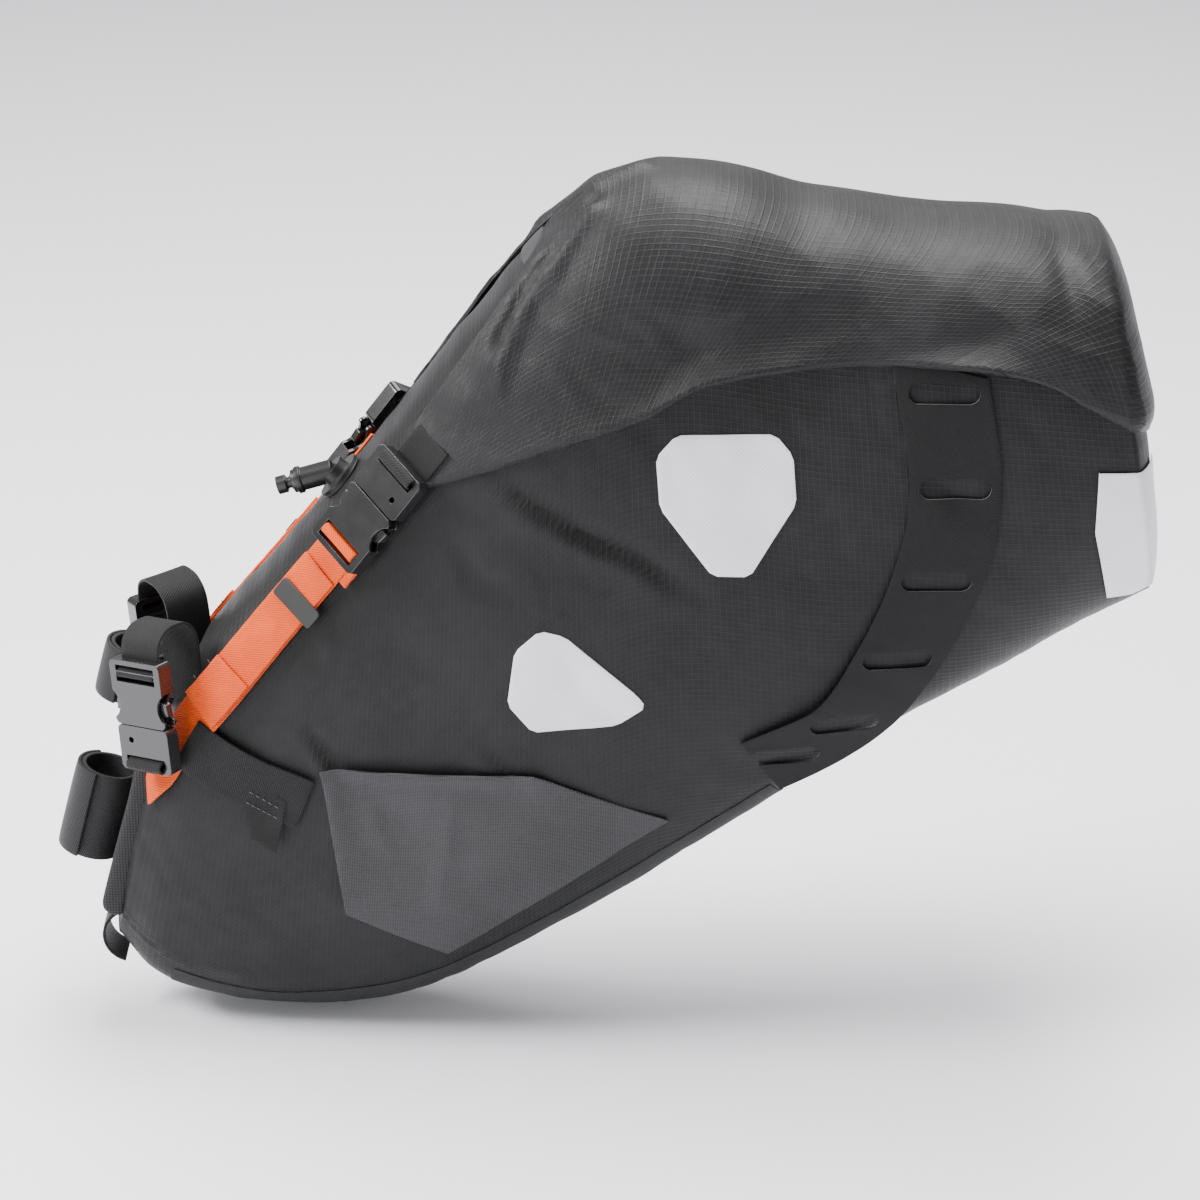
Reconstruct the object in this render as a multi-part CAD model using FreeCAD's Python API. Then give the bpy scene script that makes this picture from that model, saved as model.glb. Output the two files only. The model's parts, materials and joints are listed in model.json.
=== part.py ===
import FreeCAD, Part
import math
import os
from FreeCAD import Placement, Rotation, Vector

# Roll-closure saddle bag for a bicycle, in the attitude in which it hangs.
# Millimetres. +X runs to the back of the bicycle, +Y to its right, +Z up.
# The origin is on the seat-post axis, at the middle of the lower post strap.

# Bag body
bag_length = 549.0          # foremost to rearmost point of the body
bag_height = 466.0          # lowest to highest point of the body
front_width = 76.0          # body width at the seat post
rear_width = 156.0          # body width at the tail
nose_set_back = 7.0         # seat-post axis to the foremost point of the body
drop = 113.0                # lower strap to the lowest point of the body
fabric = 2.0                # laminated fabric with its stiffener
keel_taper = 0.16           # how much narrower the underside is than the waist
squareness = 3.0            # 2 is an ellipse, more is squarer

# Closure
hood_fabric = 2.5           # folded fabric of the closure
hood_gap = 1.2              # between the closure and the body inside it
rim_height = 14.0           # band of firmer fabric round the mouth
rim_thickness = 1.2
roll_radius = 7.0
roll_length = 80.0
roll_place = (0.480, 0.902)
strip_thickness = 1.0

# Straps
webbing = 25.0              # closure and rail straps
webbing_thickness = 1.6
anchor_run = 22.0
anchor_fall = 26.0
wing_webbing = 30.0
layer_gap = 0.2             # air between two straps that cross

# Seat post and its two straps
post_radius = 13.6
post_angle = 75.0           # above horizontal, leaning to the back
post_strap_thickness = 2.4
lower_strap_width = 50.0
upper_strap_width = 30.0
strap_spacing = 83.0
flap_thickness = 2.0
flap_gap = 0.4
flap_start = 115.0          # degrees round the post from the bag, where the flap folds
flap_end = 250.0
pad_thickness = 12.0
pad_width = 60.0
pad_ends = (-48.0, 62.0)    # along the seat post
ladder_rise = 16.0
ladder_sink = 8.0

# Side-release buckles
buckle_width = 34.0
buckle_height = 9.5
socket_length = 36.0
plug_length = 25.0
slot_length = 4.5
wall = 2.0
latch_clearance = 0.6
latch_reach = 17.6          # half the width over both latches
tongue_half = 4.0
pivot_gap = 0.3
slot_end = 3.5              # webbing slot to the plug's end
tab_length = 24.0
rail_bar_place = (0.047, 0.470)
rail_stand_off = 6.0
rail_yaw = 35.0             # how far the rail buckles face forward
rail_slant = 0.10
rail_strap_gap = 0.6        # above the closure strap, where they cross
loop_depth = 34.0
loop_rise = 16.0
loop_corner = 9.0
tail_length = 52.0          # free end of the closure strap
keeper_place = 36.0         # from the buckle
keeper_length = 11.0
keeper_gap = 0.9
buckle_lift = 7.0           # body surface to the underside of a closure buckle

# Small parts
patch_thickness = 0.8
wing_thickness = 1.4
slot_size = (36.0, 12.0)
daisy_width = 46.0
panel_rise = 18.0           # bottom panel's reach up each side
reflector_wrap = 34.0       # how far the rear reflectors reach round the tail
valve_flange_radius = 13.5
valve_barrel_radius = 6.2
valve_barrel_length = 22.0
valve_boss_radius = 8.0
valve_boss_height = 8.0
valve_tilt = 57.0           # from the slope's normal to the barrel
valve_nozzle_radius = 4.0
valve_bore_radius = valve_nozzle_radius + 0.08
valve_nozzle_length = 16.0
valve_knob_radius = 4.8
valve_reach = 60.0

# Side profile: for each cross-section the underside and the topside point as shares of the
# bag's length and height, then its share of the way from the front width to the rear width.
stations = [
    ((0.000, 0.090), (0.072, 0.400), 0.00),
    ((0.052, 0.030), (0.120, 0.492), 0.28),
    ((0.188, 0.000), (0.233, 0.646), 0.52),
    ((0.333, 0.038), (0.352, 0.828), 0.70),
    ((0.515, 0.165), (0.492, 0.994), 0.86),
    ((0.716, 0.329), (0.679, 0.972), 0.95),
    ((0.880, 0.452), (0.830, 0.946), 1.00),
    ((1.000, 0.534), (0.942, 0.930), 0.98),
]
section_points = 20
reach = 400.0               # half-length of a cutting prism

os.makedirs("parts", exist_ok=True)


def at(u, w):
    """Point of the side view at a share of the bag's length and height."""
    return (nose_set_back + u * bag_length, w * bag_height - drop)


def half_width(share):
    return (front_width + share * (rear_width - front_width)) / 2


def signed_power(value, power):
    return math.copysign(abs(value) ** power, value)


def section_wire(low, high, half, grow, shift):
    """One closed cross-section, grown outwards and moved along the bag."""
    middle = Vector((low[0] + high[0]) / 2, 0, (low[1] + high[1]) / 2)
    up = Vector(high[0] - low[0], 0, high[1] - low[1])
    half_height = up.Length / 2 + grow
    up.normalize()
    along = Vector(up.z, 0, -up.x)
    points = []
    for k in range(section_points):
        angle = 2 * math.pi * (k + 0.5) / section_points
        side = signed_power(math.cos(angle), 2 / squareness)
        rise = signed_power(math.sin(angle), 2 / squareness)
        taper = 1 - keel_taper * max(0.0, -rise) ** 1.5
        across = Vector(0, side * (half + grow) * taper, 0)
        points.append(middle + up * (rise * half_height) + across + along * shift)
    curve = Part.BSplineCurve()
    curve.interpolate(points, PeriodicFlag=True)
    return Part.Wire([curve.toShape()])


bodies = {}


def body_solid(grow):
    """The bag's outer form, alike on both sides, with its surface moved outwards by grow."""
    if grow not in bodies:
        wires = []
        for k, (low, high, share) in enumerate(stations):
            shift = {0: -grow, len(stations) - 1: grow}.get(k, 0.0)
            wires.append(section_wire(at(*low), at(*high), half_width(share), grow, shift))
        loft = Part.makeLoft(wires, True, False)
        near_side = Part.makeBox(3 * reach, reach, 2 * reach, Vector(-reach, -reach, -reach))
        near = loft.common(near_side)
        bodies[grow] = near.fuse(mirrored(near))
    return bodies[grow]


def prism(outline, y_from, y_to):
    """A side-view outline of (x, z) points, extruded across the bag."""
    corners = [Vector(x, y_from, z) for x, z in outline]
    face = Part.Face(Part.makePolygon(corners + corners[:1]))
    return face.extrude(Vector(0, y_to - y_from, 0))


def near_prism(outline, inner=-front_width / 8):
    return prism(outline, -reach, inner)


skins = {}


def skin(inner, outer):
    """The layer between two grown forms of the bag."""
    if (inner, outer) not in skins:
        skins[inner, outer] = body_solid(outer).cut(body_solid(inner))
    return skins[inner, outer]


def patch(outline, inner, outer):
    """A piece of sheet that lies on the near side of the bag."""
    return skin(inner, outer).common(near_prism(outline))


def mirrored(shape):
    return shape.mirror(Vector(0, 0, 0), Vector(0, 1, 0))


def band(path, width):
    """Outline of a strip of constant width along a side-view path."""
    left, right = [], []
    for k, (x, z) in enumerate(path):
        x0, z0 = path[max(k - 1, 0)]
        x1, z1 = path[min(k + 1, len(path) - 1)]
        length = math.hypot(x1 - x0, z1 - z0)
        dx = -(z1 - z0) / length * width / 2
        dz = (x1 - x0) / length * width / 2
        left.append((x + dx, z + dz))
        right.append((x - dx, z - dz))
    return left + right[::-1]


def along_path(start, end, distance):
    """Point at a distance from start, on the line from start to end."""
    length = math.dist(start, end)
    return tuple(a + (b - a) * distance / length for a, b in zip(start, end))


def surface_y(x, z, grow):
    """Where the near side of the bag's form lies at one point of the side view."""
    line = Part.makeLine(Vector(x, -reach, z), Vector(x, 0, z))
    return body_solid(grow).common(line).BoundBox.YMin


def frame_on_side(x, z, heading, grow):
    """Placement on the near side: local x along the heading, local z outwards."""
    step = 4.0
    y = surface_y(x, z, grow)
    slope_x = (surface_y(x + step, z, grow) - surface_y(x - step, z, grow)) / (2 * step)
    slope_z = (surface_y(x, z + step, grow) - surface_y(x, z - step, grow)) / (2 * step)
    out = Vector(slope_x, -1, slope_z).normalize()
    turn = math.radians(heading)
    along = Vector(math.cos(turn), 0, math.sin(turn))
    along = (along - out * along.dot(out)).normalize()
    return Placement(Vector(x, y, z), Rotation(along, out.cross(along), out, "ZXY"))


def box(x0, x1, half_y, z0, z1):
    return Part.makeBox(x1 - x0, 2 * half_y, z1 - z0, Vector(x0, -half_y, z0))


def rounded(shape, radius, axis=Vector(0, 0, 1)):
    """Rounds the straight edges that run along one direction."""
    edges = []
    for edge in shape.Edges:
        if edge.Curve.TypeId == "Part::GeomLine":
            if abs(edge.tangentAt(edge.FirstParameter).dot(axis)) > 0.999:
                edges.append(edge)
    return shape.makeFillet(radius, edges)


def tube(outer, inner, length, start):
    """A pipe along +Z from start."""
    pipe = Part.makeCylinder(outer, length, Vector(0, 0, start))
    return pipe.cut(Part.makeCylinder(inner, length, Vector(0, 0, start)))


# Pieces of a buckle, in its own frame: +X from the socket's bar to the plug, +Z outwards.

window_start = socket_length / 2 - 1.0
cavity_start = 13.0
bar_slot = 3.0
bar_slots = (3.0, 9.0)


def buckle_socket():
    half = buckle_width / 2
    block = rounded(box(0, socket_length, half, 0, buckle_height), 3.0)
    for x in bar_slots:
        block = block.cut(box(x, x + bar_slot, webbing / 2 + 0.5, -1, buckle_height + 1))
    block = block.cut(box(cavity_start, socket_length + 1, half - 3.0, wall, buckle_height - wall))
    for side in (-1, 1):
        window = box(window_start, socket_length + 1, 4.0, wall, buckle_height - wall)
        window.translate(Vector(0, side * half, 0))
        block = block.cut(window)
        scoop = Part.makeCylinder(9.0, buckle_height + 2, Vector(0, 0, -1))
        scoop.translate(Vector(socket_length - 11.0, side * (half + 5.0), 0))
        block = block.cut(scoop)
    return block


def buckle_plug():
    half = buckle_width / 2
    start = socket_length + 2 * pivot_gap
    end = start + plug_length
    base = rounded(box(start, end, half, 0.5, buckle_height - 0.5), 3.0)
    slot = box(end - slot_end - slot_length, end - slot_end, webbing / 2 + 0.5, -1, buckle_height + 1)
    base = base.cut(slot)
    hole = Part.makeCylinder(1.6, buckle_height + 2, Vector(start + 8.0, -half / 2, -1))
    base = base.cut(hole)
    tongue = box(cavity_start + 5.0, start + 1, tongue_half, wall + 1.0, buckle_height - wall - 1.0)
    return base.fuse(tongue).removeSplitter()


def buckle_latch(side):
    """A springy arm with the button that the fingers press."""
    pivot = socket_length + pivot_gap
    low = wall + latch_clearance
    high = buckle_height - low
    inner = tongue_half + 4.2
    outline = [
        (pivot, inner), (pivot, inner + 2.8), (window_start + 13.5, inner + 2.8),
        (window_start + 12.0, latch_reach), (window_start + 6.0, latch_reach - 0.6),
        (window_start + 2.5, inner + 3.5), (window_start + 2.5, inner),
    ]
    corners = [Vector(x, side * y, low) for x, y in outline]
    face = Part.Face(Part.makePolygon(corners + corners[:1]))
    return face.extrude(Vector(0, 0, high - low))


def placed(shape, frame):
    copy = shape.copy()
    copy.Placement = frame.multiply(copy.Placement)
    return copy


parts = {}


def keep(name, shape):
    parts[name] = shape


def keep_pair(name, shape):
    """A piece of the near side, the bicycle's left, and its mirror image."""
    parts[name + "_left"] = shape
    parts[name + "_right"] = mirrored(shape)


# Closure: the folded hood over the mouth

hood_tip_low = at(0.300, 0.664)
hood_tip_high = at(0.300, 0.730)
hood_rear = at(1.000, 0.756)
mouth_front = at(0.424, 0.936)
mouth_rear = at(1.000, 0.786)
hood_edge = [
    hood_tip_low, at(0.385, 0.704), at(0.441, 0.734), at(0.517, 0.772), at(0.576, 0.811),
    at(0.672, 0.830), at(0.749, 0.834), at(0.827, 0.830), at(0.903, 0.813), hood_rear,
]
hood_front = [at(0.365, 0.905), at(0.386, 0.874), at(0.344, 0.803)]


def hood_outline():
    far = nose_set_back + 1.2 * bag_length
    top = 1.2 * bag_height
    return hood_edge + [(far, hood_rear[1]), (far, top), (hood_front[0][0] - 8, top)] + hood_front + [
        hood_tip_high]


def closure_hood():
    layer = skin(hood_gap, hood_gap + hood_fabric)
    return layer.common(prism(hood_outline(), -reach, reach))


def above_mouth(lower=0.0):
    """Everything over the mouth's plane, which slopes down to the back."""
    front = (mouth_front[0] - bag_length, mouth_front[1] - lower)
    slope = (mouth_rear[1] - mouth_front[1]) / (mouth_rear[0] - mouth_front[0])
    start = front[1] - slope * bag_length
    end_x = mouth_rear[0] + bag_length
    end = mouth_rear[1] - lower + slope * bag_length
    top = 2 * bag_height
    return prism([(front[0], start), (end_x, end), (end_x, top), (front[0], top)], -reach, reach)


def body_shell():
    shell = body_solid(0.0).cut(body_solid(-fabric))
    return shell.cut(above_mouth())


def mouth_rim_band():
    ring = skin(-fabric - rim_thickness, -fabric)
    return ring.common(above_mouth(rim_height)).cut(above_mouth())


def inner_stiffener():
    """Stiff sheet inside the nose, which keeps the front of the bag in shape."""
    outline = [at(0.03, 0.06), at(0.09, 0.40), at(0.14, 0.40), at(0.30, 0.15), at(0.24, 0.05)]
    layer = skin(-fabric - rim_thickness, -fabric)
    return layer.common(near_prism(outline))


def roll_stiffener():
    """Two stiff strips, sewn into the edges of the mouth, that the fabric is rolled round."""
    strips = []
    for side in (-1, 1):
        strip = box(-roll_radius / 2, roll_radius / 2, roll_length / 2 - 2, 0, strip_thickness)
        strips.append(strip.translated(Vector(0, 0, side * strip_thickness - strip_thickness / 2)))
    middle = at(*roll_place)
    return Part.makeCompound(strips).translated(Vector(middle[0], 0, middle[1]))


def closure_roll():
    """The rolled end of the fabric, folded in under the hood's front edge."""
    x, z = at(*roll_place)
    axis = Vector(0, 1, 0)
    roll = Part.makeCylinder(roll_radius, roll_length, Vector(x, -roll_length / 2, z), axis)
    room = box(-roll_radius / 2, roll_radius / 2, roll_length / 2 - 2,
               -1.5 * strip_thickness, 1.5 * strip_thickness)
    return roll.cut(room.translated(Vector(x, 0, z)))


# Straps, patches and panels that lie on the sides

strap_foot = at(0.045, 0.302)
strap_bend = at(0.102, 0.403)
buckle_heading = 52.0
tip_middle = ((hood_tip_low[0] + hood_tip_high[0]) / 2, (hood_tip_low[1] + hood_tip_high[1]) / 2)
overlap_onto_hood = 4.0


def back_from_tip(distance):
    turn = math.radians(buckle_heading)
    return (tip_middle[0] - distance * math.cos(turn), tip_middle[1] - distance * math.sin(turn))


buckle_length = socket_length + 2 * pivot_gap + plug_length
buckle_start = back_from_tip(buckle_length - overlap_onto_hood)
buckle_middle = back_from_tip(buckle_length / 2 - overlap_onto_hood)


def closure_buckle_frame():
    frame = frame_on_side(buckle_middle[0], buckle_middle[1], buckle_heading, buckle_lift)
    return frame.multiply(Placement(Vector(-buckle_length / 2, 0, 0), Rotation()))


def closure_strap():
    path = [strap_foot, strap_bend, buckle_start, back_from_tip(buckle_length - 14)]
    lower = patch(band(path, webbing), 0.0, webbing_thickness)
    tail = [along_path(buckle_start, strap_bend, tail_length)] + path[2:]
    upper = patch(band(tail, webbing), webbing_thickness, 2 * webbing_thickness)
    strap = lower.fuse(upper)
    for x in bar_slots:
        riser = box(x + 0.7, x + bar_slot - 0.7, webbing / 2, -buckle_lift, buckle_height / 2)
        strap = strap.fuse(placed(riser, closure_buckle_frame()).cut(body_solid(0.0)))
    return strap.cut(front_pad()).removeSplitter()



def strap_keeper():
    """Rubber loop that holds the strap's free tail."""
    place = along_path(buckle_start, strap_bend, keeper_place)
    grow = 2 * webbing_thickness + keeper_gap
    frame = frame_on_side(place[0], place[1], buckle_heading, grow)
    loop = box(-keeper_length / 2, keeper_length / 2, webbing / 2 + wall, 0, wall)
    return placed(rounded(loop, 2.0), frame)


def wing_strap():
    path = [at(0.088, 0.366), at(0.140, 0.330), at(0.198, 0.303)]
    start = webbing_thickness + layer_gap
    return patch(band(path, wing_webbing), start, start + webbing_thickness)


def side_wing():
    outline = [
        at(0.214, 0.352), at(0.416, 0.346), at(0.545, 0.277), at(0.330, 0.099), at(0.233, 0.163),
    ]
    return patch(outline, 0.0, wing_thickness)


def oblong(centre, length, width):
    """Outline of a slot with round ends."""
    x, z = centre
    points = []
    for end in (1, -1):
        for k in range(5):
            turn = math.pi * (k / 4 - 0.5)
            dx = end * (length / 2 - width / 2 + width / 2 * math.cos(turn))
            points.append((x + dx, z + end * width / 2 * math.sin(turn)))
    return points


daisy_line = [(0.785, 0.850), (0.805, 0.697), (0.791, 0.586)]
daisy_line += [(0.758, 0.485), (0.711, 0.399), (0.640, 0.318)]
daisy_slots = [(0.792, 0.805)] + daisy_line[1:-1] + [(0.654, 0.335)]


def daisy_path():
    return [at(*share) for share in daisy_line]


def daisy_strip():
    strip = patch(band(daisy_path(), daisy_width), 0.0, patch_thickness)
    for share in daisy_slots:
        strip = strip.cut(near_prism(oblong(at(*share), *slot_size)))
    return strip.cut(prism(hood_outline(), -reach, reach))


# Reflectors: place as shares of the bag, then the corners about that place
upper_corners = [(-26, 38), (24, 39), (33, 28), (35, 3), (12, -37), (-7, -37), (-34, -1), (-36, 26)]
lower_corners = [(-20, 30), (-7, 27), (30, -6), (35, -13), (20, -24), (-24, -28), (-37, -12), (-33, 18)]
rear_corners = [(-16, 40), (30, 40), (30, -36), (-6, -36), (-17, 6)]
reflectors = {
    "upper": ((0.596, 0.672), upper_corners),
    "lower": ((0.459, 0.459), lower_corners),
    "rear": ((0.965, 0.629), rear_corners),
}


def reflector(share, shape):
    x, z = at(*share)
    outline = [(x + dx, z + dz) for dx, dz in shape]
    return skin(0.0, patch_thickness).common(near_prism(outline, reflector_wrap - rear_width / 2))


def bottom_panel():
    """Scuff panel along the underside."""
    line = [at(*low) for low, high, share in stations[1:6]]
    panel = skin(0.0, patch_thickness).common(prism(band(line, 2 * panel_rise), -reach, reach))
    panel = panel.cut(prism(band(daisy_path(), daisy_width), -reach, reach))
    return max(panel.Solids, key=lambda solid: solid.Volume)


# Seat-post side

lean = math.radians(90 - post_angle)
post_turn = Rotation(Vector(0, 1, 0), 90 - post_angle)
ring_radius = post_radius + post_strap_thickness
face_foot = at(*stations[0][0])
face_distance = face_foot[0] * math.cos(lean) - face_foot[1] * math.sin(lean)


def along_post(shape, distance=0.0):
    """Places a piece modelled round +Z, with the bag on its +X side, on the tilted seat post."""
    shift = post_turn.multVec(Vector(0, 0, distance))
    return placed(shape, Placement(shift, post_turn))


def front_pad():
    """Firm pad with a groove for the seat post."""
    pad = box(face_distance - pad_thickness, face_distance + pad_width, pad_width / 2, *pad_ends)
    pad = rounded(pad, pad_thickness / 2, Vector(0, 1, 0))
    pad = pad.cut(Part.makeCylinder(ring_radius, 2 * reach, Vector(0, 0, -reach)))
    return along_post(pad).cut(body_solid(0.0))


def front_ladder_webbing():
    """Sewn webbing with one loop standing proud, for a further strap."""
    middle = pad_ends[0] - ladder_rise - 2.0
    foot = Vector(face_distance + ladder_sink, -webbing / 2, middle)
    across = Vector(0, 1, 0)
    bulge = Part.makeCylinder(ladder_rise, webbing, foot, across)
    hollow = Part.makeCylinder(ladder_rise - webbing_thickness, webbing, foot, across)
    loop = along_post(bulge.cut(hollow)).cut(body_solid(0.0))
    return max(loop.Solids, key=lambda solid: -solid.CenterOfMass.x)


def post_strap(width, distance):
    return along_post(tube(ring_radius, post_radius, width, -width / 2), distance)


def post_flap(width, distance):
    """Outer end of a post strap, which peels off to open it."""
    inner = ring_radius + flap_gap
    outer = inner + flap_thickness
    start = Vector(0, 0, -width / 2)
    flap = Part.makeCylinder(outer, width, start, Vector(0, 0, 1), flap_end - flap_start)
    flap = flap.cut(Part.makeCylinder(inner, width, start))
    turned = placed(flap, Placement(Vector(0, 0, 0), Rotation(Vector(0, 0, 1), flap_start)))
    return along_post(turned, distance)


def upper_strap_base():
    """Tab that ties the upper post strap to the bag."""
    half = upper_strap_width / 2
    tab = box(ring_radius, face_distance + 2 * pad_thickness, post_strap_thickness / 2, -half, half)
    tab = tab.cut(Part.makeCylinder(ring_radius, upper_strap_width, Vector(0, 0, -half)))
    return along_post(tab, strap_spacing).cut(body_solid(0.0))


# Rail straps, which pass over the saddle's rails


def rail_frame():
    """Local x down the buckle from the socket's bar, local y across the webbing, local z outwards."""
    yaw = math.radians(rail_yaw)
    out = Vector(-math.sin(yaw), -math.cos(yaw), 0)
    sideways = Vector(math.cos(yaw), -math.sin(yaw), 0)
    down = (sideways * rail_slant - Vector(0, 0, 1)).normalize()
    bar_x, bar_z = at(*rail_bar_place)
    bar = Vector(bar_x, -front_width / 2 - rail_stand_off, bar_z)
    return Placement(bar, Rotation(down, out.cross(down), out, "ZXY"))


def loop_box(inset, length):
    """Round-topped block of the rail strap's loop, on the buckle's bar."""
    middle = buckle_height / 2
    block = box(inset - loop_rise, length, webbing / 2 + 1, middle - loop_depth + inset, middle - inset)
    return rounded(block, loop_corner - inset, Vector(0, 1, 0))


def rail_strap():
    """Webbing from the socket's bar, up over the rail and down to the top of the bag."""
    loop = loop_box(0.0, bag_height / 4).cut(loop_box(webbing_thickness, bag_height / 2))
    loop = loop.common(box(-bag_height, bag_height, webbing / 2, -bag_height, bag_height))
    below_bar = box(0, bag_height, webbing, 0, bag_height)
    loop = placed(loop.cut(below_bar), rail_frame())
    loop = loop.cut(body_solid(webbing_thickness + rail_strap_gap))
    return max(loop.Solids, key=lambda solid: solid.CenterOfMass.z)


def rail_anchor_tab():
    """Webbing from the plug of the rail buckle to the bag."""
    slot = socket_length + 2 * pivot_gap + plug_length - slot_end - slot_length / 2
    middle = buckle_height / 2
    half = webbing_thickness / 2
    rings = []
    side = webbing / 2 - 1
    for x, z in ((slot, middle), (slot + anchor_run, middle - anchor_fall)):
        corners = [Vector(x - half, -side, z), Vector(x + half, -side, z)]
        corners += [Vector(x + half, side, z), Vector(x - half, side, z)]
        rings.append(Part.makePolygon(corners + corners[:1]))
    tab = placed(Part.makeLoft(rings, True, True), rail_frame())
    tab = tab.cut(placed(buckle_plug(), rail_frame()))
    tab = tab.cut(body_solid(webbing_thickness + layer_gap))
    return max(tab.Solids, key=lambda solid: solid.Volume)


def closure_tab():
    """Webbing from the plug of the closure buckle to the hood's tip."""
    slot = socket_length + 2 * pivot_gap + plug_length - slot_end - slot_length / 2
    half = webbing / 2 - 0.5
    flat = box(slot - 0.8, slot + tab_length, half, 0.4 - webbing_thickness, 0.4)
    riser = box(slot - 0.8, slot + 0.8, half, 0.0, buckle_height / 2)
    return placed(flat.fuse(riser).removeSplitter(), closure_buckle_frame())


# Air valve, on the sloping topside


def valve_frame():
    """Local x up the slope, local z outwards."""
    (x0, z0), (x1, z1) = at(*stations[1][1]), at(*stations[2][1])
    slope = math.degrees(math.atan2(z1 - z0, x1 - x0))
    line = Part.makeLine(Vector(x1, 0, z1 - valve_reach), Vector(x1, 0, z1 + valve_reach))
    top = body_solid(0.0).common(line).BoundBox.ZMax
    return Placement(Vector(x1, 0, top), Rotation(Vector(0, 1, 0), -slope))


def on_valve(shape):
    """Places a piece modelled round +Z on the barrel's axis, which points forward off the slope."""
    tilt = Placement(Vector(0, 0, valve_boss_height - 2.0), Rotation(Vector(0, 1, 0), -valve_tilt))
    return placed(placed(shape, tilt), valve_frame())


def valve_seal():
    """Washer between the valve and the fabric."""
    washer = placed(tube(valve_flange_radius, valve_boss_radius, 5.0, -4.0), valve_frame())
    return washer.cut(body_solid(0.0))


def valve_flange():
    disc = Part.makeCylinder(valve_flange_radius, 2.0, Vector(0, 0, 1.0))
    boss = Part.makeCylinder(valve_boss_radius, valve_boss_height + 4.0, Vector(0, 0, -4.0))
    foot = placed(disc.fuse(boss).removeSplitter(), valve_frame())
    barrel = on_valve(Part.makeCylinder(valve_barrel_radius, valve_barrel_length))
    return foot.cut(barrel).cut(body_solid(0.0))


def valve_barrel():
    collar = Part.makeCylinder(valve_barrel_radius + 1.0, 3.0, Vector(0, 0, valve_barrel_length - 5.0))
    barrel = Part.makeCylinder(valve_barrel_radius, valve_barrel_length).fuse(collar).removeSplitter()
    bore = Part.makeCylinder(valve_bore_radius, valve_barrel_length, Vector(0, 0, 4.0))
    return on_valve(barrel.cut(bore))


def valve_nozzle():
    """Pull-out stopper."""
    shaft_start = valve_barrel_length - valve_nozzle_length / 2
    shaft = Part.makeCylinder(valve_nozzle_radius, valve_nozzle_length, Vector(0, 0, shaft_start))
    neck = tube(valve_nozzle_radius + 1, valve_nozzle_radius - 1, 2.0, valve_barrel_length + 1.0)
    knob = Part.makeCylinder(valve_knob_radius, 5.0, Vector(0, 0, valve_barrel_length + 3.5))
    return on_valve(shaft.cut(neck).fuse(knob).removeSplitter())


# All the pieces

keep("body_shell", body_shell())
keep("mouth_rim_band", mouth_rim_band())
keep("bottom_panel", bottom_panel())
keep("closure_hood", closure_hood())
keep("closure_roll", closure_roll())
keep("roll_stiffener", roll_stiffener())
keep_pair("inner_stiffener", inner_stiffener())
keep_pair("side_wing", side_wing())
keep_pair("wing_strap", wing_strap())
keep_pair("daisy_strip", daisy_strip())
for place, (share, shape) in reflectors.items():
    keep_pair(place + "_reflector", reflector(share, shape))
keep_pair("closure_strap", closure_strap())
keep_pair("strap_keeper", strap_keeper())
for kind, frame in (("closure", closure_buckle_frame()), ("rail", rail_frame())):
    keep_pair(kind + "_buckle_socket", placed(buckle_socket(), frame))
    keep_pair(kind + "_buckle_plug", placed(buckle_plug(), frame))
    for name, side in (("upper", 1), ("lower", -1)):
        keep_pair(f"{kind}_latch_{name}", placed(buckle_latch(side), frame))
keep_pair("closure_tab", closure_tab())
keep_pair("rail_strap", rail_strap())
keep_pair("rail_anchor_tab", rail_anchor_tab())
keep("front_pad", front_pad())
keep("front_ladder_webbing", front_ladder_webbing())
keep("lower_post_strap", post_strap(lower_strap_width, 0.0))
keep("lower_post_flap", post_flap(lower_strap_width, 0.0))
keep("upper_post_strap", post_strap(upper_strap_width, strap_spacing))
keep("upper_post_flap", post_flap(upper_strap_width, strap_spacing))
keep("upper_strap_base", upper_strap_base())
keep("valve_seal", valve_seal())
keep("valve_flange", valve_flange())
keep("valve_barrel", valve_barrel())
keep("valve_nozzle", valve_nozzle())

for name in sorted(parts):
    piece = parts[name]
    if not piece.isValid() or not piece.Solids:
        raise RuntimeError(f"{name} has no valid solid")
    piece.exportStep(f"parts/{name}.step")
print(len(parts), "pieces")
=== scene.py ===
import json
import math
import bpy
import bmesh
import numpy as np
from mathutils import Matrix, Vector, noise
from mathutils.bvhtree import BVHTree

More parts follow.
